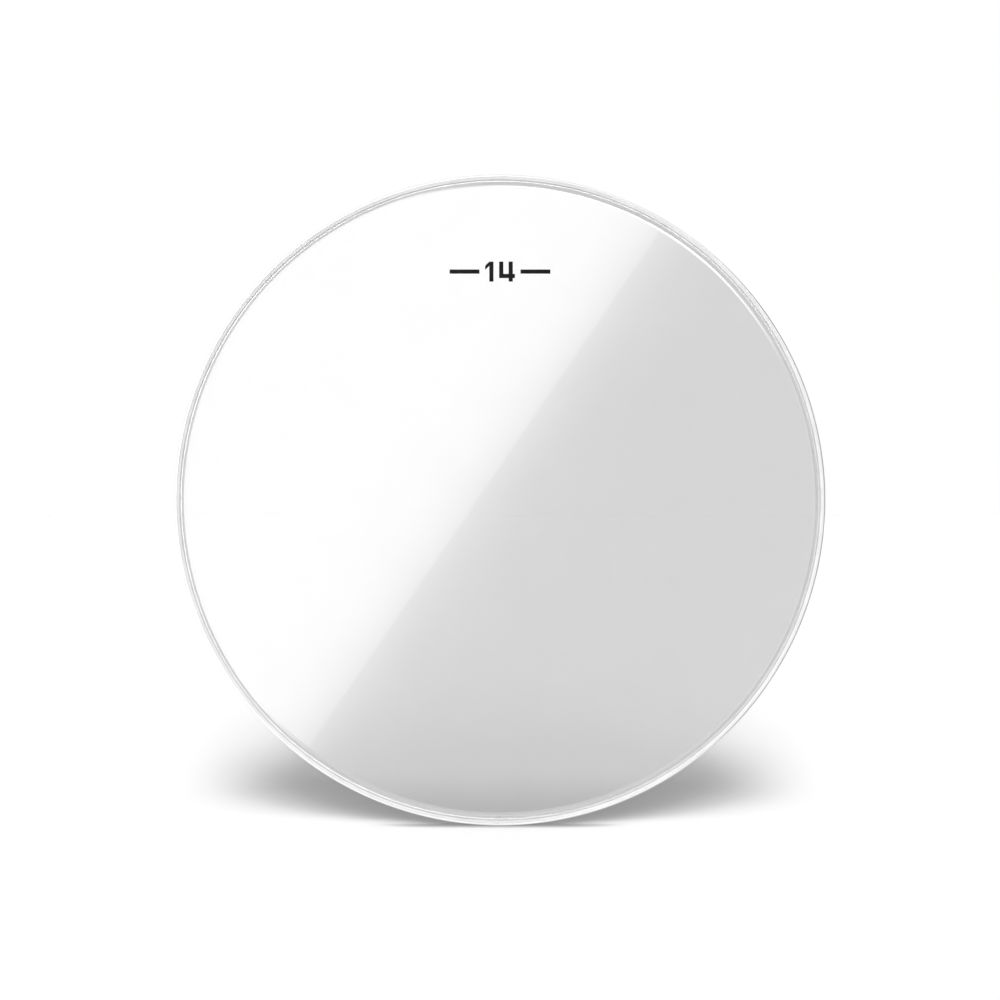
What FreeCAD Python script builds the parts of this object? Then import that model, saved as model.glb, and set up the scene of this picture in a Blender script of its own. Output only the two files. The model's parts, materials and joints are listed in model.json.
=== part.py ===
"""Clear two-ply drum head for a 14 inch shell.

Two nested plastic films with a formed collar are cast with resin into the channel of a rolled
aluminium flesh hoop. The axis of the head is Y: the playing face looks along -Y, the drum is on the
+Y side, and Z is up. The origin is the centre of the films' underside, where the shell's bearing
edge meets the head. Profiles are drawn as radius (X) against depth (Y) and turned about Y.
"""

import FreeCAD, Part
import math
import os
import Sketcher

# Driving dimensions: name, millimetres or a count, meaning.
SIZES = (
    ("shell_diameter", 355.6, "outside of the drum shell that the head fits"),
    ("shell_clearance", 1.6, "radial room from the shell to the collar's shoulder"),
    ("collar_run", 3.5, "radial distance from the shoulder to the hem"),
    ("collar_depth", 5.0, "depth from the underside of the films to the mouth of the hoop"),
    ("shoulder_radius", 2.5, "inside bend of the collar's shoulder"),
    ("hem_radius", 1.2, "inside bend where the collar turns into the hoop"),
    ("ply_thickness", 0.178, "each film, 7 thousandths of an inch"),
    ("hem_clearance", 0.4, "resin between the hoop's inner leg and the hem"),
    ("hem_floor_gap", 0.6, "resin between the channel's floor and the edge of the films"),
    ("lock_hole_count", 90, "holes round the hem of each film"),
    ("lock_hole_diameter", 2.0, "each hole in the hem"),
    ("lock_hole_inset", 2.2, "from the edge of the film to a hole's centre"),
    ("hoop_height", 9.0, "back face of the hoop to the crest of its outer leg"),
    ("groove_width", 2.3, "between the two legs of the hoop"),
    ("outer_leg", 1.2, "wall of the hoop's outer leg"),
    ("inner_leg", 0.85, "wall of the hoop's inner leg"),
    ("web_thickness", 1.3, "floor of the hoop's channel"),
    ("outer_lip", 0.5, "outer crest in front of the hoop's mouth"),
    ("inner_drop", 0.2, "inner crest behind the hoop's mouth"),
    ("outside_radius", 0.8, "rounding of the outer crest towards the counterhoop"),
    ("inside_radius", 0.2, "rounding of the outer crest towards the resin"),
    ("inner_crest_radius", 0.3, "rounding of the inner crest"),
    ("resin_fall", 0.45, "fall of the resin from the outer leg to the hems"),
    ("back_corner_radius", 0.8, "rounding of the hoop's back corners"),
    ("floor_radius", 0.4, "rounding of the channel's floor"),
    ("key_depth", 0.3, "recess in the outer leg that keys the resin"),
    ("key_height", 1.6, "depth of that recess along the axis"),
    ("key_floor_gap", 1.2, "from the channel's floor to that recess"),
    ("weld_width", 1.2, "weld that closes the hoop, along its outside"),
    ("mark_inset", 49.3, "from the shoulder in to the middle of the printed mark"),
    ("mark_height", 11.4, "height of the printed numerals"),
    ("mark_stroke", 2.4, "line width of the printed mark"),
    ("mark_bar", 17.0, "each bar beside the numerals"),
    ("four_opening", 3.0, "between the two uprights of the 4"),
    ("four_foot", 2.0, "foot of the 4 below its bar"),
    ("four_overhang", 1.2, "bar of the 4 past its stem"),
    ("mark_gap", 3.2, "between the parts of the printed mark"),
    ("ink_thickness", 0.03, "layer of printed ink"),
)

# Radii from the axis, outwards, and depths along it, from the playing face to the back.
SHOULDER_R = "(dims.shell_diameter / 2 + dims.shell_clearance)"
HEM_R = f"({SHOULDER_R} + dims.collar_run)"
HEM_OUTSIDE_R = f"({HEM_R} + 2 * dims.ply_thickness)"
INNER_LEG_FACE_R = f"({HEM_R} - dims.hem_clearance)"
BORE_R = f"({INNER_LEG_FACE_R} - dims.inner_leg)"
OUTER_LEG_FACE_R = f"({INNER_LEG_FACE_R} + dims.groove_width)"
KEY_R = f"({OUTER_LEG_FACE_R} + dims.key_depth)"
HOOP_R = f"({OUTER_LEG_FACE_R} + dims.outer_leg)"
OUTER_CREST_Y = "(dims.collar_depth - dims.outer_lip)"
INNER_CREST_Y = "(dims.collar_depth + dims.inner_drop)"
BACK_Y = f"({OUTER_CREST_Y} + dims.hoop_height)"
FLOOR_Y = f"({BACK_Y} - dims.web_thickness)"
HEM_EDGE_Y = f"({FLOOR_Y} - dims.hem_floor_gap)"
KEY_BACK_Y = f"({FLOOR_Y} - dims.key_floor_gap)"
KEY_FRONT_Y = f"({KEY_BACK_Y} - dims.key_height)"
COLLAR_TILT = "atan(dims.collar_depth / dims.collar_run)"
HEM_BEND = f"(90 deg - {COLLAR_TILT})"
HEM_TOP_Y = f"(dims.collar_depth + dims.hem_radius * tan({HEM_BEND} / 2))"
LOCK_HOLE_Y = f"({HEM_EDGE_Y} - dims.lock_hole_inset)"

# The weld is centred at the lowest point, a quarter turn about +Y from +X.
WELD_ANGLE = f"(dims.weld_width / {HOOP_R} * 180 / pi)"
WELD_AT = "90"

# A crest's two roundings take at most these shares of its wall, so that a flat stays between them.
OUTSIDE_SHARE = 0.7
INSIDE_SHARE = 0.25
INNER_SHARE = 0.45
OUTSIDE_RADIUS = f"min(dims.outside_radius; {OUTSIDE_SHARE} * dims.outer_leg)"
INSIDE_RADIUS = f"min(dims.inside_radius; {INSIDE_SHARE} * dims.outer_leg)"
INNER_CREST_RADIUS = f"min(dims.inner_crest_radius; {INNER_SHARE} * dims.inner_leg)"

# The resin reaches the rounding of each leg. It falls from the outer leg to the hems, and inside them it
# stays behind their bend.
RESIN_OUTER_Y = f"({OUTER_CREST_Y} + {INSIDE_RADIUS})"
RESIN_HEM_Y = f"({RESIN_OUTER_Y} + dims.resin_fall)"
RESIN_INNER_Y = f"max({INNER_CREST_Y} + {INNER_CREST_RADIUS}; {HEM_TOP_Y})"

doc = FreeCAD.newDocument("drum_head")


def make_sheet():
    """The spreadsheet of driving dimensions."""
    table = doc.addObject("Spreadsheet::Sheet", "dims")
    for row, (name, size, meaning) in enumerate(SIZES, start=1):
        table.set(f"A{row}", name)
        table.set(f"B{row}", str(size))
        table.setAlias(f"B{row}", name)
        table.set(f"C{row}", meaning)
    doc.recompute()


def make_gauge():
    """A set of one variable, which reads what an expression of the sheet comes to."""
    variables = doc.addObject("App::VarSet", "gauge")
    variables.addProperty("App::PropertyFloat", "reading")
    return variables


make_sheet()
gauge = make_gauge()


def value(expression):
    """What an expression of the sheet comes to now, to draw a sketch near its final shape."""
    gauge.setExpression("reading", expression)
    gauge.recompute()
    return gauge.reading


def make_body(label):
    body = doc.addObject("PartDesign::Body", label)
    body.Label = label
    return body


def origin_feature(body, role):
    """One of the body's own origin planes or axes, such as XY_Plane."""
    return next(f for f in body.Origin.OriginFeatures if f.Role == role)


def new_sketch(body, name, plane):
    sketch = body.newObject("Sketcher::SketchObject", name)
    sketch.AttachmentSupport = (origin_feature(body, plane), [""])
    sketch.MapMode = "FlatFace"
    return sketch


def bind(sketch, constraint, expression):
    """Adds a dimension to a sketch and ties it to an expression of the sheet."""
    index = sketch.addConstraint(constraint)
    sketch.renameConstraint(index, f"size{index}")
    sketch.setExpression(f"Constraints.size{index}", expression)


def round_corner(before, corner, after, radius):
    """Centre and tangent points, on the side from before and on the side to after, of a rounded corner."""
    back = (before - corner).normalize()
    on = (after - corner).normalize()
    half_angle = back.getAngle(on) / 2
    reach = radius / math.tan(half_angle)
    centre = corner + (back + on).normalize() * (radius / math.sin(half_angle))
    return centre, corner + back * reach, corner + on * reach


def draw_outline(sketch, corners):
    """Adds a closed outline to a sketch. Each corner is (x, y) or (x, y, radius), as expressions."""
    count = len(corners)
    sharp = [FreeCAD.Vector(value(c[0]), value(c[1]), 0) for c in corners]
    starts, ends, centres = list(sharp), list(sharp), {}
    for i, corner in enumerate(corners):
        if len(corner) == 3:
            around = sharp[i - 1], sharp[i], sharp[(i + 1) % count]
            centres[i], ends[i], starts[i] = round_corner(*around, value(corner[2]))
    points = [sketch.addGeometry(Part.Point(p), True) for p in sharp]
    lines = [
        sketch.addGeometry(Part.LineSegment(starts[i], ends[(i + 1) % count]), False) for i in range(count)
    ]
    for i, corner in enumerate(corners):
        bind(sketch, Sketcher.Constraint("DistanceX", -1, 1, points[i], 1, sharp[i].x), corner[0])
        bind(sketch, Sketcher.Constraint("DistanceY", -1, 1, points[i], 1, sharp[i].y), corner[1])
        into, out = lines[i - 1], lines[i]
        if i not in centres:
            sketch.addConstraint(Sketcher.Constraint("Coincident", into, 2, points[i], 1))
            sketch.addConstraint(Sketcher.Constraint("Coincident", out, 1, points[i], 1))
            continue
        draw_rounding(sketch, centres[i], ends[i], starts[i], into, out, corner[2])
        sketch.addConstraint(Sketcher.Constraint("PointOnObject", points[i], 1, into))
        sketch.addConstraint(Sketcher.Constraint("PointOnObject", points[i], 1, out))


def draw_rounding(sketch, centre, first, last, into, out, radius):
    """Adds the arc that joins the end of one line to the start of the next."""
    from_centre, to_centre = first - centre, last - centre
    angles = [math.atan2(v.y, v.x) for v in (from_centre, to_centre)]
    left_turn = from_centre.cross(to_centre).z > 0
    circle = Part.Circle(centre, FreeCAD.Vector(0, 0, 1), from_centre.Length)
    arc = sketch.addGeometry(Part.ArcOfCircle(circle, *(angles if left_turn else angles[::-1])), False)
    at_first, at_last = (1, 2) if left_turn else (2, 1)
    sketch.addConstraint(Sketcher.Constraint("Tangent", into, 2, arc, at_first))
    sketch.addConstraint(Sketcher.Constraint("Tangent", out, 1, arc, at_last))
    bind(sketch, Sketcher.Constraint("Radius", arc, from_centre.Length), radius)


def turn_profile(body, corners, angle="360", midplane=False):
    """Revolves an outline of radius against depth about the head's axis."""
    sketch = new_sketch(body, f"{body.Label}_profile", "XY_Plane")
    draw_outline(sketch, corners)
    turned = body.newObject("PartDesign::Revolution", f"{body.Label}_turned")
    turned.Profile = sketch
    turned.ReferenceAxis = (sketch, ["V_Axis"])
    turned.Midplane = midplane
    turned.setExpression("Angle", angle)
    sketch.Visibility = False
    return turned


def film_face(offset):
    """Shoulder and mouth corners of a film surface that lies an offset outside the underside."""
    shoulder = (
        f"{SHOULDER_R} + {offset} * tan({COLLAR_TILT} / 2)",
        f"-{offset}",
        f"dims.shoulder_radius + {offset}",
    )
    mouth = (
        f"{HEM_R} + {offset}",
        f"dims.collar_depth - {offset} * tan({HEM_BEND} / 2)",
        f"dims.hem_radius + {offset}",
    )
    return shoulder, mouth


def make_ply(label, plies_below):
    """One film: flat playing area, collar and a hem pierced with lock holes."""
    inside = f"({plies_below} * dims.ply_thickness)"
    outside = f"({plies_below + 1} * dims.ply_thickness)"
    body = make_body(label)
    under, over = film_face(inside), film_face(outside)
    corners = (
        ("0", f"-{inside}"),
        *under,
        (f"{HEM_R} + {inside}", HEM_EDGE_Y),
        (f"{HEM_R} + {outside}", HEM_EDGE_Y),
        *reversed(over),
        ("0", f"-{outside}"),
    )
    turned = turn_profile(body, corners)
    doc.recompute()
    ring_of_holes(body, "Pocket", INNER_LEG_FACE_R, "dims.groove_width")
    doc.recompute()
    if body.Shape.Volume >= turned.Shape.Volume:
        raise RuntimeError(f"the lock holes of {label} cut nothing")
    return body


def ring_of_holes(body, kind, start_r, length):
    """Cuts (Pocket) or fills (Pad) the ring of lock holes outwards from a start radius."""
    sketch = new_sketch(body, f"{body.Label}_hole", "YZ_Plane")
    sketch.setExpression("AttachmentOffset.Base.z", start_r)
    middle = FreeCAD.Vector(value(LOCK_HOLE_Y), 0, 0)
    circle = Part.Circle(middle, FreeCAD.Vector(0, 0, 1), value("dims.lock_hole_diameter / 2"))
    hole = sketch.addGeometry(circle, False)
    sketch.addConstraint(Sketcher.Constraint("PointOnObject", hole, 3, -1))
    bind(sketch, Sketcher.Constraint("DistanceX", -1, 1, hole, 3, middle.x), LOCK_HOLE_Y)
    bind(sketch, Sketcher.Constraint("Diameter", hole, circle.Radius * 2), "dims.lock_hole_diameter")
    one = body.newObject(f"PartDesign::{kind}", f"{body.Label}_one_hole")
    one.Profile = sketch
    one.Reversed = kind == "Pocket"
    one.setExpression("Length", length)
    ring = body.newObject("PartDesign::PolarPattern", f"{body.Label}_holes")
    ring.Originals = [one]
    ring.Axis = (origin_feature(body, "Y_Axis"), [""])
    ring.Angle = 360
    ring.setExpression("Occurrences", "dims.lock_hole_count")
    body.Tip = ring
    sketch.Visibility = False


def hoop_section():
    """The hoop's channel section: outer leg, keyed groove, inner leg and floor."""
    return (
        (BORE_R, BACK_Y, "dims.back_corner_radius"),
        (BORE_R, INNER_CREST_Y, INNER_CREST_RADIUS),
        (INNER_LEG_FACE_R, INNER_CREST_Y, INNER_CREST_RADIUS),
        (INNER_LEG_FACE_R, FLOOR_Y, "dims.floor_radius"),
        (OUTER_LEG_FACE_R, FLOOR_Y, "dims.floor_radius"),
        (OUTER_LEG_FACE_R, KEY_BACK_Y),
        (KEY_R, KEY_BACK_Y),
        (KEY_R, KEY_FRONT_Y),
        (OUTER_LEG_FACE_R, KEY_FRONT_Y),
        (OUTER_LEG_FACE_R, OUTER_CREST_Y, INSIDE_RADIUS),
        (HOOP_R, OUTER_CREST_Y, OUTSIDE_RADIUS),
        (HOOP_R, BACK_Y, "dims.back_corner_radius"),
    )


def turn_about_axis(body, angle):
    """Stands a turned body round the head's axis by an angle, in degrees."""
    body.Placement.Rotation = FreeCAD.Rotation(FreeCAD.Vector(0, 1, 0), value(angle))
    body.setExpression("Placement.Rotation.Angle", angle)


def make_hoop():
    """The rolled hoop, open by the width of its weld at the lowest point."""
    body = make_body("flesh_hoop")
    turn_profile(body, hoop_section(), f"360 - {WELD_ANGLE}")
    turn_about_axis(body, f"{WELD_AT} + {WELD_ANGLE} / 2")
    return body


def make_weld():
    """The weld that closes the hoop, dressed flush with its section."""
    body = make_body("hoop_weld")
    turn_profile(body, hoop_section(), WELD_ANGLE, midplane=True)
    turn_about_axis(body, WELD_AT)
    return body


def make_resin():
    """The resin that fills the channel round both hems, with a plug through each of their lock holes."""
    body = make_body("resin_bond")
    section = (
        (INNER_LEG_FACE_R, RESIN_INNER_Y),
        (INNER_LEG_FACE_R, FLOOR_Y, "dims.floor_radius"),
        (OUTER_LEG_FACE_R, FLOOR_Y, "dims.floor_radius"),
        (OUTER_LEG_FACE_R, KEY_BACK_Y),
        (KEY_R, KEY_BACK_Y),
        (KEY_R, KEY_FRONT_Y),
        (OUTER_LEG_FACE_R, KEY_FRONT_Y),
        (OUTER_LEG_FACE_R, RESIN_OUTER_Y),
        (HEM_OUTSIDE_R, RESIN_HEM_Y),
        (HEM_OUTSIDE_R, HEM_EDGE_Y),
        (HEM_R, HEM_EDGE_Y),
        (HEM_R, RESIN_INNER_Y),
    )
    turned = turn_profile(body, section)
    doc.recompute()
    rooted = "dims.hem_clearance / 2"
    ring_of_holes(body, "Pad", f"{HEM_R} - {rooted}", f"2 * dims.ply_thickness + 2 * {rooted}")
    doc.recompute()
    if body.Shape.Volume <= turned.Shape.Volume:
        raise RuntimeError("the resin's plugs add nothing")
    return body


# The printed mark reads 14, the head's size in inches, between two bars. Its parts run left to right.
MARK_Z = f"({SHOULDER_R} - dims.mark_inset)"
MARK_FOOT = f"({MARK_Z} - dims.mark_height / 2)"
MARK_HEAD = f"({MARK_Z} + dims.mark_height / 2)"
ONE_WIDTH = "(2 * dims.mark_stroke)"
FOUR_WIDTH = "(2 * dims.mark_stroke + dims.four_opening + dims.four_overhang)"
MARK_WIDTH = f"(2 * dims.mark_bar + 3 * dims.mark_gap + {ONE_WIDTH} + {FOUR_WIDTH})"
ONE_LEFT = f"(dims.mark_bar + dims.mark_gap - {MARK_WIDTH} / 2)"
FOUR_LEFT = f"({ONE_LEFT} + {ONE_WIDTH} + dims.mark_gap)"
FOUR_RIGHT = f"({FOUR_LEFT} + {FOUR_WIDTH})"


def bar_outline(left):
    """A printed bar at half the height of the numerals."""
    right = f"{left} + dims.mark_bar"
    low = f"{MARK_Z} - dims.mark_stroke / 2"
    high = f"{MARK_Z} + dims.mark_stroke / 2"
    return ((left, low), (right, low), (right, high), (left, high))


def one_outline():
    """The numeral 1: a stem with a slanting flag as wide as the stem."""
    stem_left = f"{ONE_LEFT} + dims.mark_stroke"
    stem_right = f"{ONE_LEFT} + {ONE_WIDTH}"
    return (
        (stem_left, MARK_FOOT),
        (stem_right, MARK_FOOT),
        (stem_right, MARK_HEAD),
        (stem_left, MARK_HEAD),
        (ONE_LEFT, f"{MARK_HEAD} - dims.mark_stroke"),
        (ONE_LEFT, f"{MARK_HEAD} - 2 * dims.mark_stroke"),
        (stem_left, f"{MARK_HEAD} - dims.mark_stroke"),
    )


def four_outline():
    """The numeral 4, open at its top: a short upright, a bar and a stem."""
    short_right = f"{FOUR_LEFT} + dims.mark_stroke"
    stem_left = f"{short_right} + dims.four_opening"
    stem_right = f"{stem_left} + dims.mark_stroke"
    bar_low = f"{MARK_FOOT} + dims.four_foot"
    bar_high = f"{bar_low} + dims.mark_stroke"
    return (
        (FOUR_LEFT, bar_low),
        (stem_left, bar_low),
        (stem_left, MARK_FOOT),
        (stem_right, MARK_FOOT),
        (stem_right, bar_low),
        (FOUR_RIGHT, bar_low),
        (FOUR_RIGHT, bar_high),
        (stem_right, bar_high),
        (stem_right, MARK_HEAD),
        (stem_left, MARK_HEAD),
        (stem_left, bar_high),
        (short_right, bar_high),
        (short_right, MARK_HEAD),
        (FOUR_LEFT, MARK_HEAD),
    )


def make_mark():
    """The printed mark, a layer of ink on the front of the top ply."""
    body = make_body("size_mark")
    sketch = new_sketch(body, "size_mark_outline", "XZ_Plane")
    sketch.setExpression("AttachmentOffset.Base.z", "2 * dims.ply_thickness")
    left_bar = bar_outline(f"-{MARK_WIDTH} / 2")
    right_bar = bar_outline(f"{FOUR_RIGHT} + dims.mark_gap")
    for outline in (left_bar, one_outline(), four_outline(), right_bar):
        draw_outline(sketch, outline)
    ink = body.newObject("PartDesign::Pad", "size_mark_ink")
    ink.Profile = sketch
    ink.setExpression("Length", "dims.ink_thickness")
    sketch.Visibility = False
    return body


def check(objects):
    """Stops the build if the document or a sub-part failed."""
    sketches = [o for o in doc.Objects if o.isDerivedFrom("Sketcher::SketchObject")]
    failed = [o.Label for o in doc.Objects if {"Invalid", "Error"} & set(o.State)]
    loose = [o.Label for o in sketches if not o.FullyConstrained]
    broken = [o.Label for o in objects if o.Shape.isNull() or not o.Shape.isValid() or not o.Shape.Solids]
    if failed or loose or broken:
        raise RuntimeError(f"failed {failed}, not fully constrained {loose}, broken {broken}")


def main():
    plies = [make_ply(label, below) for below, label in enumerate(("bottom_ply", "top_ply"))]
    parts = [*plies, make_hoop(), make_weld(), make_resin(), make_mark()]
    doc.recompute()
    check(parts)
    os.makedirs("parts", exist_ok=True)
    for part in parts:
        part.Shape.exportStep(os.path.join("parts", f"{part.Label}.step"))
        print(f"{part.Label}: {len(part.Shape.Solids)} solids, {part.Shape.Volume:.1f} mm3")


main()
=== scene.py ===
"""Looks of the clear drum head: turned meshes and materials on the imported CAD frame, in metres.

The head stands on its hoop and faces -Y, as in the photograph. Every turned piece is an outline of
radius against depth (Y), with its corners rounded, swept round the head's axis.
"""

import json
import math

import bmesh
import bpy
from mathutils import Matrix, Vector


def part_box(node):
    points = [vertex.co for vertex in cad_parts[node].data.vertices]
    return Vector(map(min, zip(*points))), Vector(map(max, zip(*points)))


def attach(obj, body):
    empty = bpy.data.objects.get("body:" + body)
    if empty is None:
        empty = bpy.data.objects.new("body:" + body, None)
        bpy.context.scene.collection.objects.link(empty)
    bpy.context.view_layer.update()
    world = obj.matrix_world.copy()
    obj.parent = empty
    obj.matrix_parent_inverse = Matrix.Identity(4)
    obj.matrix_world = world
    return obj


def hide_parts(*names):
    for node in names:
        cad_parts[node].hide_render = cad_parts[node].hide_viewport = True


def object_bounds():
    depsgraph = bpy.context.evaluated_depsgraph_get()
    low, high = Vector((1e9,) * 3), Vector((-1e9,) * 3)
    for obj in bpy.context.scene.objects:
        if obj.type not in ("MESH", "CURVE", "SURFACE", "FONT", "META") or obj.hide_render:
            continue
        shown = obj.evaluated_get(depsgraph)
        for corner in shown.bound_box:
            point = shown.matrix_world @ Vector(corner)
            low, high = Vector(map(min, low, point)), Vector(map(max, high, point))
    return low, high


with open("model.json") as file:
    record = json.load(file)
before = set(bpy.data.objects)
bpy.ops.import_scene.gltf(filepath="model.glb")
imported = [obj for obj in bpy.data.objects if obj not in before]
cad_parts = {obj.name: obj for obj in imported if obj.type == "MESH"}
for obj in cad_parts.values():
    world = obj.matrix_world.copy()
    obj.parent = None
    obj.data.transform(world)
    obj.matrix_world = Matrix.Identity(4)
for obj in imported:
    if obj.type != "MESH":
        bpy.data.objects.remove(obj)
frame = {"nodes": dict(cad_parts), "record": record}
cad_low, cad_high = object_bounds()

MM = 0.001
FULL_TURN = 2 * math.pi
QUARTER_TURN = math.pi / 2

# Turned meshes: steps round the axis and a corner, distance at which points merge, sharpest smooth bend.
SEGMENTS = 480
ARC_STEPS = 6
MERGE_DISTANCE = 1e-7
SHARP_ANGLE = math.radians(30)

# Sizes that the frame gives: the hoop's radii and levels, the films' edge and the resin's floor.
MOUNTS = {m["name"]: m for m in frame["record"]["mounts"]}
HOOP_R = MOUNTS["counterhoop_wall"]["dims"]["r_mm"] * MM
BORE_R = MOUNTS["shell_bore"]["dims"]["r_mm"] * MM
OUTER_CREST_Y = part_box("flesh_hoop")[0].y
BACK_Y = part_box("flesh_hoop")[1].y
HEM_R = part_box("bottom_ply")[1].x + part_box("bottom_ply")[0].y
FLOOR_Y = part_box("resin_bond")[1].y
RESIN_OUTER_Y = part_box("resin_bond")[0].y
KEY_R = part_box("resin_bond")[1].x
FILM_FRONT_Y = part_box("top_ply")[0].y
GROUND_Z = cad_low.z

# Sizes inside the section that no box shows, as in the CAD model.
INNER_LEG = 0.85 * MM
OUTER_LEG = 1.2 * MM
INNER_CREST_Y = 5.2 * MM
CREST_INSIDE_RADIUS = 0.2 * MM
CREST_OUTSIDE_RADIUS = 0.8 * MM
INNER_CREST_RADIUS = 0.3 * MM
BACK_CORNER_RADIUS = 0.8 * MM
FLOOR_RADIUS = 0.4 * MM
KEY_FRONT_Y = 9.4 * MM
KEY_BACK_Y = 11.0 * MM
COLLAR_RUN = 3.5 * MM
COLLAR_DEPTH = 5.0 * MM
SHOULDER_RADIUS = 2.5 * MM
HEM_RADIUS = 1.2 * MM
WELD_WIDTH = 1.2 * MM
INNER_LEG_FACE_R = BORE_R + INNER_LEG
OUTER_LEG_FACE_R = HOOP_R - OUTER_LEG
SHOULDER_R = HEM_R - COLLAR_RUN
COLLAR_TILT = math.atan2(COLLAR_DEPTH, COLLAR_RUN)
HEM_BEND = QUARTER_TURN - COLLAR_TILT

# The film's points keep it flat up to this radius, just inside the shoulder's bend.
FLAT_MARGIN = 0.1 * MM
FLAT_R = SHOULDER_R - SHOULDER_RADIUS * math.tan(COLLAR_TILT / 2) - FLAT_MARGIN

# The films lie this far apart, and other surfaces that touch are drawn this far apart.
FILM_AIR = 0.02 * MM
SKIN = 0.005 * MM

# The resin's surface: where it meets the inner leg and the hems, how far it sags, how level its middle is.
RESIN_INNER_Y = 5.42 * MM
RESIN_HEM_Y = 5.28 * MM
RESIN_FILM_Y = 5.15 * MM
RESIN_INNER_SAG = 0.04 * MM
RESIN_OUTER_SAG = 0.03 * MM
RESIN_LEVEL_POWER = 4
RESIN_STEPS = 8

# Depth inside the resin at which the drawn hems end.
HEM_SHOWN_Y = 5.42 * MM

# The photograph's frame: pixels across, the hoop's diameter in it and the camera's distance.
PHOTO_SIDE_PX = 1000
PHOTO_HOOP_PX = 651
CAMERA_DISTANCE = 1.5
SENSOR_WIDTH = 36.0


def round_outline(corners):
    """Points of a closed outline whose corners are (r, y) or (r, y, radius)."""
    points = []
    for i, corner in enumerate(corners):
        here = Vector(corner[:2])
        if len(corner) == 2:
            points.append(here)
            continue
        before = Vector(corners[i - 1][:2]) - here
        after = Vector(corners[(i + 1) % len(corners)][:2]) - here
        points += corner_arc(here, before.normalized(), after.normalized(), corner[2])
    return points


def corner_arc(corner, back, on, radius):
    """Points of the arc that rounds a corner between two unit directions."""
    half = back.angle(on) / 2
    centre = corner + (back + on).normalized() * (radius / math.sin(half))
    first = corner + back * (radius / math.tan(half)) - centre
    last = corner + on * (radius / math.tan(half)) - centre
    turn = first.angle(last)
    return [
        centre + (first * math.sin(turn * (1 - k)) + last * math.sin(turn * k)) / math.sin(turn)
        for k in (step / ARC_STEPS for step in range(ARC_STEPS + 1))
    ]


def turned_mesh(name, outline, start=0.0, sweep=FULL_TURN):
    """A closed solid: an outline of (radius, depth) swept about the Y axis from a start angle."""
    whole = sweep == FULL_TURN
    rings = SEGMENTS if whole else SEGMENTS + 1
    mesh = bpy.data.meshes.new(name)
    build = bmesh.new()
    columns = []
    for i in range(rings):
        angle = start + sweep * i / SEGMENTS
        across, up = math.cos(angle), math.sin(angle)
        columns.append([build.verts.new((r * across, y, r * up)) for r, y in outline])
    for i in range(SEGMENTS):
        left, right = columns[i], columns[(i + 1) % rings]
        for j in range(len(outline)):
            k = (j + 1) % len(outline)
            build.faces.new((left[j], right[j], right[k], left[k]))
    if not whole:
        build.faces.new(columns[0])
        build.faces.new(reversed(columns[-1]))
    bmesh.ops.remove_doubles(build, verts=build.verts, dist=MERGE_DISTANCE)
    bmesh.ops.recalc_face_normals(build, faces=build.faces)
    build.to_mesh(mesh)
    build.free()
    mesh.shade_smooth()
    mesh.set_sharp_from_angle(angle=SHARP_ANGLE)
    piece = bpy.data.objects.new(name, mesh)
    bpy.context.scene.collection.objects.link(piece)
    return piece


def add_piece(piece, node, material):
    """Puts a piece on the frame in place of a CAD node."""
    piece.data.materials.append(material)
    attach(piece, "root")
    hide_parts(node)


def film_face(offset):
    """Shoulder and mouth corners of a film surface that lies an offset outside the underside."""
    shoulder = (SHOULDER_R + offset * math.tan(COLLAR_TILT / 2), -offset, SHOULDER_RADIUS + offset)
    mouth = (HEM_R + offset, COLLAR_DEPTH - offset * math.tan(HEM_BEND / 2), HEM_RADIUS + offset)
    return shoulder, mouth


def film_outline(inside, outside):
    """Section of one film from the axis to its hem and back."""
    under, over = film_face(inside), film_face(outside)
    return round_outline((
        (0.0, -inside),
        (FLAT_R, -inside),
        *under,
        (HEM_R + inside, HEM_SHOWN_Y),
        (HEM_R + outside, HEM_SHOWN_Y),
        *reversed(over),
        (FLAT_R, -outside),
        (0.0, -outside),
    ))


def hoop_outline():
    """Section of the hoop's channel, with the recess that keys the resin."""
    return round_outline((
        (BORE_R, BACK_Y, BACK_CORNER_RADIUS),
        (BORE_R, INNER_CREST_Y, INNER_CREST_RADIUS),
        (INNER_LEG_FACE_R, INNER_CREST_Y, INNER_CREST_RADIUS),
        (INNER_LEG_FACE_R, FLOOR_Y, FLOOR_RADIUS),
        (OUTER_LEG_FACE_R, FLOOR_Y, FLOOR_RADIUS),
        (OUTER_LEG_FACE_R, KEY_BACK_Y),
        (KEY_R, KEY_BACK_Y),
        (KEY_R, KEY_FRONT_Y),
        (OUTER_LEG_FACE_R, KEY_FRONT_Y),
        (OUTER_LEG_FACE_R, OUTER_CREST_Y, CREST_INSIDE_RADIUS),
        (HOOP_R, OUTER_CREST_Y, CREST_OUTSIDE_RADIUS),
        (HOOP_R, BACK_Y, BACK_CORNER_RADIUS),
    ))


def meniscus(start, end, sag):
    """Points of the resin's sagging surface between two points of contact."""
    points = []
    for step in range(RESIN_STEPS + 1):
        across = step / RESIN_STEPS
        r, y = Vector(start).lerp(Vector(end), across)
        points.append((r, y + sag * (1 - (2 * across - 1) ** RESIN_LEVEL_POWER)))
    return points


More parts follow.
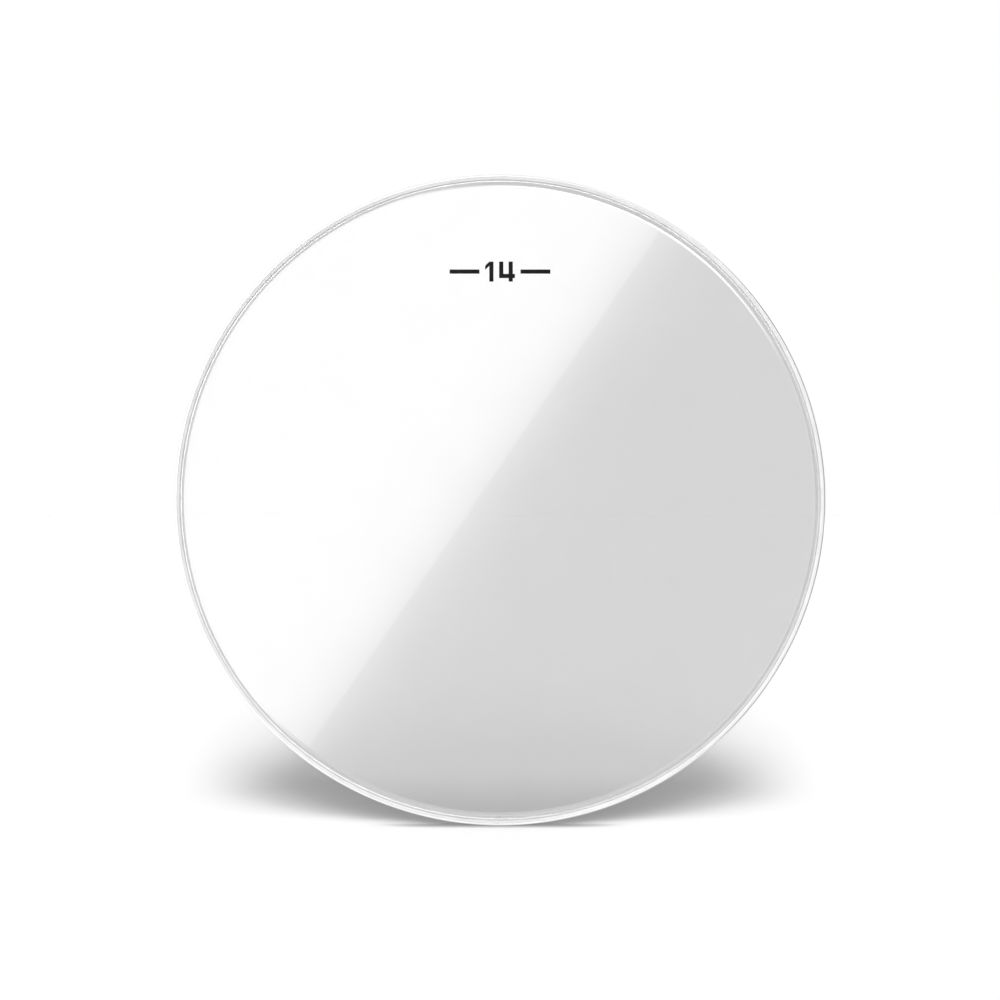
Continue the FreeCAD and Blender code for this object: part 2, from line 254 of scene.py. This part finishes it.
def resin_outline():
    """Section of the resin: inner leg, inner surface, hems of both films, outer surface, outer leg."""
    round_r = INNER_LEG_FACE_R - INNER_CREST_RADIUS
    rise = INNER_CREST_Y + INNER_CREST_RADIUS - RESIN_INNER_Y
    inner_contact_r = round_r + math.sqrt(INNER_CREST_RADIUS ** 2 - rise ** 2) + SKIN
    film_radius = HEM_RADIUS - FILM_FRONT_Y
    mouth_y = COLLAR_DEPTH + HEM_RADIUS * math.tan(HEM_BEND / 2)
    film_side = []
    for step in range(RESIN_STEPS + 1):
        y = mouth_y + (RESIN_FILM_Y - mouth_y) * step / RESIN_STEPS
        film_side.append((HEM_R - HEM_RADIUS + math.sqrt(film_radius ** 2 - (mouth_y - y) ** 2), y))
    return round_outline((
        *meniscus((inner_contact_r, RESIN_INNER_Y), (HEM_R, RESIN_HEM_Y), RESIN_INNER_SAG),
        (HEM_R, HEM_SHOWN_Y + SKIN),
        (HEM_R - FILM_FRONT_Y, HEM_SHOWN_Y + SKIN),
        *film_side,
        *meniscus(film_side[-1], (OUTER_LEG_FACE_R, RESIN_OUTER_Y), RESIN_OUTER_SAG)[1:],
        (OUTER_LEG_FACE_R, KEY_FRONT_Y),
        (KEY_R, KEY_FRONT_Y),
        (KEY_R, KEY_BACK_Y),
        (OUTER_LEG_FACE_R, KEY_BACK_Y),
        (OUTER_LEG_FACE_R, FLOOR_Y, FLOOR_RADIUS),
        (INNER_LEG_FACE_R, FLOOR_Y, FLOOR_RADIUS),
        (INNER_LEG_FACE_R, INNER_CREST_Y + INNER_CREST_RADIUS),
    ))


# Sockets of a colour mix, which has others of the same names for numbers and vectors.
MIX_COLOUR_A = 6
MIX_COLOUR_B = 7
MIX_COLOUR_RESULT = 2

# Noise: detail of clouds, of lines and grain and of the resin's pour, and the range that most values fill.
CLOUD_DETAIL = 3.0
LINE_DETAIL = 2.0
POUR_DETAIL = 4.0
NOISE_RANGE = (0.3, 0.7)
LINE_RANGE = (0.25, 0.75)

# Film: colours of the flat part and of the collar, where the collar clears, and clouds per metre.
FILM_COLOURS = ((0.9125, 0.913, 0.913), (0.9185, 0.919, 0.919))
COLLAR_COLOUR = (0.981, 0.981, 0.981)
CLEARING_FROM_R = SHOULDER_R - 0.5 * MM
CLEAR_FROM_R = SHOULDER_R + 2.3 * MM
FILM_IOR = 1.65
FILM_CLOUDS = (25, 25, 25)

# Hoop: range of colour and roughness, strength and depth of the relief, lines and patches per metre.
HOOP_COLOURS = ((0.845, 0.846, 0.848), (0.905, 0.906, 0.908))
HOOP_ROUGHNESS = (0.16, 0.34)
HOOP_RELIEF = (0.08, 0.02 * MM)
HOOP_LINES = (9, 9000, 9)
HOOP_RADIAL_LINES = 9000.0
HOOP_PATCHES = (40, 40, 40)

# Weld: the same, with lines across the joint.
WELD_COLOURS = ((0.805, 0.806, 0.808), (0.865, 0.866, 0.868))
WELD_ROUGHNESS = (0.24, 0.42)
WELD_RELIEF = (0.1, 0.03 * MM)
WELD_LINES = (6000, 300, 300)

# Resin: the same, with the pour's clouds and finer ripples per metre.
RESIN_COLOURS = ((0.745, 0.745, 0.74), (0.82, 0.82, 0.815))
RESIN_ROUGHNESS = (0.25, 0.4)
RESIN_RELIEF = (0.15, 0.1 * MM)
RESIN_POUR = (55, 55, 55)
RESIN_RIPPLES = (300, 300, 300)

# Ink: range of colour and roughness, shine and grains per metre.
INK_COLOURS = ((0.006, 0.006, 0.007), (0.014, 0.014, 0.015))
INK_ROUGHNESS = (0.5, 0.7)
INK_SHINE = 0.1
INK_GRAIN = (2500, 2500, 2500)


def new_material(name):
    """A material, its node tree and its shader."""
    material = bpy.data.materials.new(name)
    material.use_nodes = True
    return material, material.node_tree, material.node_tree.nodes["Principled BSDF"]


def bare_material(name):
    """A material with only its output node. Returns it, its tree and the output's surface socket."""
    material, tree, shader = new_material(name)
    tree.nodes.remove(shader)
    return material, tree, tree.nodes["Material Output"].inputs["Surface"]


def feed(tree, socket, source):
    """Gives a socket a link from another socket, or a plain value."""
    if isinstance(source, bpy.types.NodeSocket):
        tree.links.new(source, socket)
    else:
        socket.default_value = source


def fed_node(tree, kind, operation, *sources):
    """A node of one operation, fed by sockets or plain values."""
    node = tree.nodes.new(kind)
    node.operation = operation
    for socket, source in zip(node.inputs, sources):
        feed(tree, socket, source)
    return node


def math_node(tree, operation, *sources):
    """Output of a math node fed by sockets or numbers."""
    return fed_node(tree, "ShaderNodeMath", operation, *sources).outputs[0]


def vector_node(tree, operation, *sources):
    """A vector math node fed by sockets or vectors."""
    return fed_node(tree, "ShaderNodeVectorMath", operation, *sources)


def own_place(tree):
    """A piece's own coordinates, in metres."""
    return tree.nodes.new("ShaderNodeTexCoord").outputs["Object"]


def own_axes(tree):
    """Sockets X, Y and Z of a piece's own coordinates."""
    parts = tree.nodes.new("ShaderNodeSeparateXYZ")
    tree.links.new(own_place(tree), parts.inputs[0])
    return parts.outputs


def head_place(tree):
    """Coordinates on the head and the distance from its axis."""
    place = own_place(tree)
    flat = vector_node(tree, "MULTIPLY", place, (1, 0, 1))
    radius = vector_node(tree, "LENGTH", flat.outputs["Vector"])
    return place, radius.outputs["Value"]


def noise(tree, place, stretch, detail=CLOUD_DETAIL, extra=None):
    """Noise over coordinates times three frequencies per metre, with a fourth coordinate if given."""
    scaled = vector_node(tree, "MULTIPLY", place, stretch)
    node = tree.nodes.new("ShaderNodeTexNoise")
    node.inputs["Scale"].default_value = 1.0
    node.inputs["Detail"].default_value = detail
    tree.links.new(scaled.outputs["Vector"], node.inputs["Vector"])
    if extra is not None:
        node.noise_dimensions = "4D"
        tree.links.new(extra, node.inputs["W"])
    return node.outputs["Fac"]


def spread(tree, source, low, high, start=0.0, end=1.0):
    """A value or a colour that runs from low to high while the source runs from start to end.

    A low colour may come from a socket.
    """
    colours = isinstance(high, tuple)
    node = tree.nodes.new("ShaderNodeMapRange")
    node.interpolation_type = "SMOOTHSTEP"
    node.inputs["From Min"].default_value = start
    node.inputs["From Max"].default_value = end
    tree.links.new(source, node.inputs["Value"])
    if not colours:
        node.inputs["To Min"].default_value = low
        node.inputs["To Max"].default_value = high
        return node.outputs["Result"]
    mix = tree.nodes.new("ShaderNodeMix")
    mix.data_type = "RGBA"
    tree.links.new(node.outputs["Result"], mix.inputs["Factor"])
    feed(tree, mix.inputs[MIX_COLOUR_A], (*low, 1) if isinstance(low, tuple) else low)
    mix.inputs[MIX_COLOUR_B].default_value = (*high, 1)
    return mix.outputs[MIX_COLOUR_RESULT]


def vary(tree, shader, socket, pattern, values, span=NOISE_RANGE):
    """Lets a shader's socket run between two values while a pattern runs through a span."""
    tree.links.new(spread(tree, pattern, *values, *span), shader.inputs[socket])


def bump(tree, shader, height, strength, depth):
    """Relief on a shader's normal."""
    node = tree.nodes.new("ShaderNodeBump")
    node.inputs["Strength"].default_value = strength
    node.inputs["Distance"].default_value = depth
    tree.links.new(height, node.inputs["Height"])
    tree.links.new(node.outputs["Normal"], shader.inputs["Normal"])


def film_material():
    """Clear film, slightly smoky and clouded where it is flat and clearer in the drawn collar."""
    material, tree, shader = new_material("clear_film")
    place, radius = head_place(tree)
    flat = spread(tree, noise(tree, place, FILM_CLOUDS), *FILM_COLOURS, *NOISE_RANGE)
    colour = spread(tree, radius, flat, COLLAR_COLOUR, CLEARING_FROM_R, CLEAR_FROM_R)
    tree.links.new(colour, shader.inputs["Base Color"])
    shader.inputs["Roughness"].default_value = 0.0
    shader.inputs["IOR"].default_value = FILM_IOR
    shader.inputs["Transmission Weight"].default_value = 1.0
    return material


def hoop_material():
    """Rolled aluminium with fine lines along the ring."""
    material, tree, shader = new_material("rolled_aluminium")
    place, radius = head_place(tree)
    outward = math_node(tree, "MULTIPLY", radius, HOOP_RADIAL_LINES)
    lines = noise(tree, place, HOOP_LINES, LINE_DETAIL, outward)
    vary(tree, shader, "Base Color", noise(tree, place, HOOP_PATCHES), HOOP_COLOURS)
    vary(tree, shader, "Roughness", lines, HOOP_ROUGHNESS, LINE_RANGE)
    shader.inputs["Metallic"].default_value = 1.0
    bump(tree, shader, lines, *HOOP_RELIEF)
    return material


def weld_material():
    """Dressed weld: duller than the hoop, with coarse grinding lines across the joint."""
    material, tree, shader = new_material("dressed_weld")
    lines = noise(tree, own_place(tree), WELD_LINES, LINE_DETAIL)
    vary(tree, shader, "Base Color", lines, WELD_COLOURS)
    vary(tree, shader, "Roughness", lines, WELD_ROUGHNESS)
    shader.inputs["Metallic"].default_value = 1.0
    bump(tree, shader, lines, *WELD_RELIEF)
    return material


def resin_material():
    """Milky cast resin with a slightly uneven pour."""
    material, tree, shader = new_material("cast_resin")
    place = own_place(tree)
    pour = noise(tree, place, RESIN_POUR, POUR_DETAIL)
    vary(tree, shader, "Base Color", pour, RESIN_COLOURS)
    vary(tree, shader, "Roughness", pour, RESIN_ROUGHNESS)
    bump(tree, shader, noise(tree, place, RESIN_RIPPLES), *RESIN_RELIEF)
    return material


def ink_material():
    """Dense screen-printed ink with a faint grain."""
    material, tree, shader = new_material("mark_ink")
    grain = noise(tree, own_place(tree), INK_GRAIN, LINE_DETAIL)
    vary(tree, shader, "Base Color", grain, INK_COLOURS)
    vary(tree, shader, "Roughness", grain, INK_ROUGHNESS)
    shader.inputs["Specular IOR Level"].default_value = INK_SHINE
    return material


def set_material(node, material):
    """Gives a CAD node that stays in sight its material. Returns the node."""
    piece = frame["nodes"][node]
    piece.data.materials.clear()
    piece.data.materials.append(material)
    return piece


def dress_head():
    """All the pieces of the head. Returns the films, the metal pieces and all the opaque pieces."""
    film = film_material()
    ply = -FILM_FRONT_Y / 2
    bottom = turned_mesh("bottom_film", film_outline(SKIN, ply - FILM_AIR / 2))
    top = turned_mesh("top_film", film_outline(ply + FILM_AIR / 2, 2 * ply - SKIN))
    add_piece(bottom, "bottom_ply", film)
    add_piece(top, "top_ply", film)
    weld_half = WELD_WIDTH / HOOP_R / 2
    hoop_sweep = 2 * (math.pi - weld_half)
    hoop = turned_mesh("rolled_hoop", hoop_outline(), weld_half - QUARTER_TURN, hoop_sweep)
    add_piece(hoop, "flesh_hoop", hoop_material())
    resin = turned_mesh("cast_resin", resin_outline())
    add_piece(resin, "resin_bond", resin_material())
    weld = set_material("hoop_weld", weld_material())
    mark = set_material("size_mark", ink_material())
    return [bottom, top], [hoop, weld], [hoop, weld, resin, mark]


# Studio. Levels are linear, where 1 is white. Turns run clockwise from the top, as the camera sees them.

# Floor: side, white and glow, and share of painted white that lightens its shadow through the film, near
# and far.
FLOOR_SIDE = 60.0
FLOOR_ALBEDO = 0.9
FLOOR_GLOW = 0.25
WHITE_NEAR = 0.5
WHITE_FAR = 0.83
WHITE_RUN = 0.33

# Shade where the hoop touches the floor: reach, darkest level and the openness at which it is darkest.
CONTACT_REACH = 0.016
CONTACT_LEVEL = 0.15
CONTACT_FULL = 0.25
CONTACT_SAMPLES = 16

# Level of the world for what it lights.
AMBIENT = 0.1

# Suns that light the floor: heights, shares of the light, width of each and light on the floor from all.
SUN_ELEVATIONS = [math.radians(degrees) for degrees in (14, 24, 35, 50)]
SUN_SHARES = (0.22, 0.34, 0.31, 0.13)
SUN_WIDTH = math.radians(14)
SUN_LIGHT = 2.4

# Lamps that light the head: directions from it, distances, sizes and strengths.
LAMP_DISTANCE = 2.2
FRONT_TOWARDS = Vector((-0.24, -1.0, 0.35)).normalized()
FRONT_WIDTH = math.radians(30)
FRONT_STRENGTH = 2.85
WIDE_TOWARDS = Vector((-0.6, -1.0, 0.25)).normalized()
WIDE_SIZE = (3.0, 3.0)
WIDE_POWER = 18.0
GLINT_DISTANCE = 1.25
GLINT_OFF_AXIS = math.radians(54)
GLINT_TURN = math.radians(33)
GLINT_SIZE = (1.3, 0.3)
GLINT_POWER = 6.0

# Card that the flat film mirrors: its place and side, and the edge of light as it lies on the film.
CARD_Y = -2.4
CARD_SIDE = 1.1
EDGE_X = -13.1 * MM
EDGE_SLOPE = 0.68
EDGE_FADE = 19.0 * MM

# Levels of the card: far to the left, how much they fall towards the edge, and just right of the edge.
CARD_LEFT = 1.82
CARD_LEFT_DIP = 0.86
CARD_RIGHT = 0.75

# Bands that the collar mirrors: radii and depths of their edges, and turns between which they are bright.
BAND_SIDES = 96
BAND_FRONT_R = 0.52
BAND_R = 1.1
BAND_MIDDLE_Y = -0.7
BAND_REAR_Y = 0.31
BAND_BACK_Y = 0.9
BRIGHT_FROM = math.radians(-138)
FRONT_BRIGHT_TO = math.radians(57)
REAR_BRIGHT_TO = math.radians(-12)
BAND_FADE = math.radians(12)

# Levels of each band: in the bright part, elsewhere, and what is added towards the floor.
FRONT_BAND_LEVELS = (1.7, 0.05, 0.7)
SIDE_BAND_LEVELS = (1.7, 0.25, 0.3)
REAR_BAND_LEVELS = (0.33, 0.25, 0.0)
NEAR_FLOOR_FROM = math.radians(135)
NEAR_FLOOR_TO = math.radians(172)

# Flag that the bare metal mirrors, a band with levels as above.
FLAG_R = 1.2
FLAG_FRONT_Y = -2.6
FLAG_FROM = math.radians(45)
FLAG_TO = math.radians(140)
FLAG_LEVELS = (0.45, 1.0, 0.0)

# Ring behind the head that all the metal mirrors, and card that the metal under the film mirrors.
BACK_R = 2.0
BACK_FAR_Y = 5.0
BACK_LEVEL = 0.5
CREST_CARD_SIDE = 1.6
CREST_CARD_X = -0.7
CREST_CARD_Z = 0.0
CREST_CARD_LEVEL = 4.0
UPRIGHT = (QUARTER_TURN, 0, 0)

# Light that metal mirrors under the two films crosses their four faces twice. Counts are split halfway.
FILM_CROSSINGS = 8
HALFWAY = 0.5


def plane(name, side, location, rotation=(0, 0, 0)):
    """A square stage plane."""
    bpy.ops.mesh.primitive_plane_add(size=side, location=location, rotation=rotation)
    made = bpy.context.object
    made.name = name
    return made


def mix_shaders(tree, share, shader, others):
    """A mix that shows one shader where the share is 1 and another where it is 0."""
    mix = tree.nodes.new("ShaderNodeMixShader")
    tree.links.new(share, mix.inputs[0])
    tree.links.new(others.outputs[0], mix.inputs[1])
    tree.links.new(shader.outputs[0], mix.inputs[2])
    return mix


def mirrored_rays(tree, path):
    """1 for rays that the film or the metal has mirrored."""
    return math_node(tree, "GREATER_THAN", path.outputs["Glossy Depth"], HALFWAY)


def rays_from(tree, path, mirror):
    """1 for rays that come from one kind of mirror: film, metal, bare metal, or metal under the film."""
    crossings = path.outputs["Transmission Depth"]
    if mirror == "covered metal":
        return math_node(tree, "GREATER_THAN", crossings, FILM_CROSSINGS - HALFWAY)
    not_under = math_node(tree, "LESS_THAN", crossings, FILM_CROSSINGS - HALFWAY)
    from_film = math_node(tree, "MULTIPLY", path.outputs["Is Singular Ray"], not_under)
    if mirror == "film":
        return from_film
    from_metal = math_node(tree, "SUBTRACT", 1.0, from_film)
    if mirror == "metal":
        return from_metal
    uncrossed = math_node(tree, "LESS_THAN", crossings, HALFWAY)
    return math_node(tree, "MULTIPLY", from_metal, uncrossed)


def lit_floor(tree, path):
    """Shader of the floor as the suns light it, with a glow for the camera and for what the film shows."""
    contact = tree.nodes.new("ShaderNodeAmbientOcclusion")
    contact.samples = CONTACT_SAMPLES
    contact.inputs["Distance"].default_value = CONTACT_REACH
    darkest = CONTACT_LEVEL * FLOOR_ALBEDO
    shade = spread(tree, contact.outputs["AO"], darkest, FLOOR_ALBEDO, CONTACT_FULL)
    diffuse = tree.nodes.new("ShaderNodeBsdfDiffuse")
    tree.links.new(shade, diffuse.inputs["Color"])
    through_film = path.outputs["Is Transmission Ray"]
    looked_at = math_node(tree, "MAXIMUM", path.outputs["Is Camera Ray"], through_film)
    glow = tree.nodes.new("ShaderNodeEmission")
    tree.links.new(math_node(tree, "MULTIPLY", looked_at, FLOOR_GLOW), glow.inputs["Strength"])
    lit = tree.nodes.new("ShaderNodeAddShader")
    tree.links.new(diffuse.outputs[0], lit.inputs[0])
    tree.links.new(glow.outputs[0], lit.inputs[1])
    return lit


def make_floor():
    """White floor that keeps the head's shadow, weaker through the film. Mirrors don't show the floor."""
    material, tree, surface = bare_material("floor")
    path = tree.nodes.new("ShaderNodeLightPath")
    # Painted white, more of it further back, lightens the floor's shadow as seen through the film.
    painted_white_share = spread(tree, own_axes(tree)["Y"], WHITE_NEAR, WHITE_FAR, 0.0, WHITE_RUN)
    through_film = math_node(tree, "MULTIPLY", path.outputs["Is Transmission Ray"], painted_white_share)
    white = tree.nodes.new("ShaderNodeEmission")
    seen = mix_shaders(tree, through_film, white, lit_floor(tree, path))
    clear = tree.nodes.new("ShaderNodeBsdfTransparent")
    shown = mix_shaders(tree, mirrored_rays(tree, path), clear, seen)
    tree.links.new(shown.outputs[0], surface)
    floor = plane("floor", FLOOR_SIDE, (0, 0, GROUND_Z))
    floor.data.materials.append(material)
    return floor


def make_reflector(piece, material, tree, surface, strength, seen_by):
    """Finishes a stage piece that is seen only in one kind of mirror."""
    path = tree.nodes.new("ShaderNodeLightPath")
    wanted = math_node(tree, "MULTIPLY", mirrored_rays(tree, path), rays_from(tree, path, seen_by))
    glow = tree.nodes.new("ShaderNodeEmission")
    feed(tree, glow.inputs["Strength"], strength)
    clear = tree.nodes.new("ShaderNodeBsdfTransparent")
    shown = mix_shaders(tree, wanted, glow, clear)
    tree.links.new(shown.outputs[0], surface)
    piece.data.materials.append(material)
    piece.visible_camera = False
    piece.visible_diffuse = False
    piece.visible_shadow = False


def make_even_reflector(piece, level, seen_by):
    """Makes a stage piece a reflector of one level."""
    material, tree, surface = bare_material(piece.name)
    make_reflector(piece, material, tree, surface, level, seen_by)


def band_mesh(name, front, back):
    """Band round the head's axis between two edges, each a radius and a depth."""
    mesh = bpy.data.meshes.new(name)
    corners = []
    for i in range(BAND_SIDES):
        angle = FULL_TURN * i / BAND_SIDES
        corners += [(r * math.sin(angle), y, r * math.cos(angle)) for r, y in (front, back)]
    count = len(corners)
    faces = [(i, i + 1, (i + 3) % count, (i + 2) % count) for i in range(0, count, 2)]
    mesh.from_pydata(corners, [], faces)
    band = bpy.data.objects.new(name, mesh)
    bpy.context.scene.collection.objects.link(band)
    return band


def make_band(name, front, back, turns, levels, seen_by):
    """Band of surroundings with one level between two turns, another elsewhere and more near the floor."""
    bright, dark, near_floor = levels
    material, tree, surface = bare_material(name)
    axes = own_axes(tree)
    turn = math_node(tree, "ARCTAN2", axes["X"], axes["Z"])
    rise = spread(tree, turn, 0.0, 1.0, turns[0] - BAND_FADE, turns[0] + BAND_FADE)
    fall = spread(tree, turn, 1.0, 0.0, turns[1] - BAND_FADE, turns[1] + BAND_FADE)
    share = math_node(tree, "MULTIPLY", rise, fall)
    lowness = math_node(tree, "ABSOLUTE", turn)
    floor_level = spread(tree, lowness, 0.0, near_floor, NEAR_FLOOR_FROM, NEAR_FLOOR_TO)
    level = math_node(tree, "ADD", spread(tree, share, dark, bright), floor_level)
    make_reflector(band_mesh(name, front, back), material, tree, surface, level, seen_by)


def make_card():
    """Graded card behind the camera, seen only as the film's reflection: a slanting edge of light."""
    material, tree, surface = bare_material("card")
    mirrored = 1 - CARD_Y / CAMERA_DISTANCE
    across = vector_node(tree, "DOT_PRODUCT", own_place(tree), (1 / mirrored, -EDGE_SLOPE / mirrored, 0))
    past_edge = math_node(tree, "SUBTRACT", across.outputs["Value"], EDGE_X)
    away = math_node(tree, "DIVIDE", math_node(tree, "ABSOLUTE", past_edge), -EDGE_FADE)
    fade = math_node(tree, "EXPONENT", away)
    left = math_node(tree, "SUBTRACT", CARD_LEFT, math_node(tree, "MULTIPLY", fade, CARD_LEFT_DIP))
    right = math_node(tree, "MULTIPLY", fade, CARD_RIGHT)
    is_right = math_node(tree, "GREATER_THAN", past_edge, 0.0)
    step = math_node(tree, "MULTIPLY", is_right, math_node(tree, "SUBTRACT", right, left))
    card = plane("card", CARD_SIDE, (0, CARD_Y, 0), UPRIGHT)
    make_reflector(card, material, tree, surface, math_node(tree, "ADD", left, step), "film")


def make_surroundings():
    """What the film and the metal mirror: graded card, bands of light and shade, card for the crest."""
    make_card()
    wide_turns, narrow_turns = (BRIGHT_FROM, FRONT_BRIGHT_TO), (BRIGHT_FROM, REAR_BRIGHT_TO)
    front, middle = (BAND_FRONT_R, CARD_Y), (BAND_R, BAND_MIDDLE_Y)
    rear, back = (BAND_R, BAND_REAR_Y), (BAND_R, BAND_BACK_Y)
    make_band("front_band", front, middle, wide_turns, FRONT_BAND_LEVELS, "film")
    make_band("side_band", middle, rear, narrow_turns, SIDE_BAND_LEVELS, "film")
    make_band("rear_band", rear, back, narrow_turns, REAR_BAND_LEVELS, "film")
    flag_front, flag_back = (FLAG_R, FLAG_FRONT_Y), (FLAG_R, BAND_BACK_Y)
    make_band("flag", flag_front, flag_back, (FLAG_FROM, FLAG_TO), FLAG_LEVELS, "bare metal")
    back_ring = band_mesh("back_ring", (BACK_R, BAND_BACK_Y), (BACK_R, BACK_FAR_Y))
    make_even_reflector(back_ring, BACK_LEVEL, "metal")
    crest_place = (CREST_CARD_X, FLAG_FRONT_Y, CREST_CARD_Z)
    crest_card = plane("crest_card", CREST_CARD_SIDE, crest_place, UPRIGHT)
    make_even_reflector(crest_card, CREST_CARD_LEVEL, "covered metal")


def collect(name, pieces):
    """A collection of pieces."""
    collection = bpy.data.collections.new(name)
    for piece in pieces:
        collection.objects.link(piece)
    return collection


def make_lamp(data, towards, distance, lit, blockers=None, mirrored=False):
    """Places a lamp in a direction from the head. It lights only some pieces, and only some shade it."""
    lamp = bpy.data.objects.new(data.name, data)
    lamp.location = towards * distance
    lamp.rotation_euler = towards.to_track_quat("Z", "Y").to_euler()
    lamp.visible_camera = False
    lamp.visible_glossy = mirrored
    bpy.context.scene.collection.objects.link(lamp)
    lamp.light_linking.receiver_collection = collect(data.name + "_lit", lit)
    if blockers:
        lamp.light_linking.blocker_collection = collect(data.name + "_shading", blockers)


def softbox(name, size, power):
    """Lamp data of a rectangular softbox."""
    data = bpy.data.lights.new(name, "AREA")
    data.shape = "RECTANGLE"
    data.size, data.size_y = size
    data.energy = power
    return data


def even_light(name, width, strength):
    """Lamp data of a broad light that is equally strong everywhere."""
    data = bpy.data.lights.new(name, "SUN")
    data.angle = width
    data.energy = strength
    return data


def make_lights(films, metal, opaque, floor):
    """Lights for the floor's shadow, for the resin and mark, for the metal and for the collar's glint."""
    for elevation, share in zip(SUN_ELEVATIONS, SUN_SHARES):
        sun = even_light("sun", SUN_WIDTH, SUN_LIGHT * share / math.sin(elevation))
        make_lamp(sun, Vector((0, -math.cos(elevation), math.sin(elevation))), LAMP_DISTANCE, [floor])
    front = even_light("front", FRONT_WIDTH, FRONT_STRENGTH)
    make_lamp(front, FRONT_TOWARDS, LAMP_DISTANCE, opaque, opaque)
    wide = softbox("wide", WIDE_SIZE, WIDE_POWER)
    make_lamp(wide, WIDE_TOWARDS, LAMP_DISTANCE, metal, opaque, mirrored=True)
    side = math.sin(GLINT_OFF_AXIS)
    glint = Vector((side * math.sin(GLINT_TURN), -math.cos(GLINT_OFF_AXIS), side * math.cos(GLINT_TURN)))
    make_lamp(softbox("glint", GLINT_SIZE, GLINT_POWER), glint, GLINT_DISTANCE, films, mirrored=True)


def make_world():
    """White for what the camera, metal and film see, and a low even fill for the rest."""
    world = bpy.data.worlds.new("studio")
    world.use_nodes = True
    tree = world.node_tree
    path = tree.nodes.new("ShaderNodeLightPath")
    seen = math_node(tree, "MAXIMUM", path.outputs["Is Camera Ray"], path.outputs["Is Glossy Ray"])
    seen = math_node(tree, "MAXIMUM", seen, path.outputs["Is Transmission Ray"])
    background = tree.nodes["Background"]
    background.inputs["Color"].default_value = (1, 1, 1, 1)
    tree.links.new(math_node(tree, "MAXIMUM", seen, AMBIENT), background.inputs["Strength"])
    bpy.context.scene.world = world


def make_camera():
    """Level camera on the head's axis, framed as the photograph is."""
    metres_across = PHOTO_SIDE_PX / PHOTO_HOOP_PX * 2 * HOOP_R
    data = bpy.data.cameras.new("camera")
    data.sensor_width = SENSOR_WIDTH
    data.lens = SENSOR_WIDTH * (CAMERA_DISTANCE + OUTER_CREST_Y) / metres_across
    camera = bpy.data.objects.new("camera", data)
    camera.location = (0, -CAMERA_DISTANCE, 0)
    camera.rotation_euler = (QUARTER_TURN, 0, 0)
    bpy.context.scene.collection.objects.link(camera)
    bpy.context.scene.camera = camera


film_pieces, metal_pieces, opaque_pieces = dress_head()
make_surroundings()
make_lights(film_pieces, metal_pieces, opaque_pieces, make_floor())
make_world()
make_camera()
scene = bpy.context.scene
scene.view_settings.view_transform = "Standard"
scene.cycles.caustics_reflective = False
scene.cycles.caustics_refractive = False
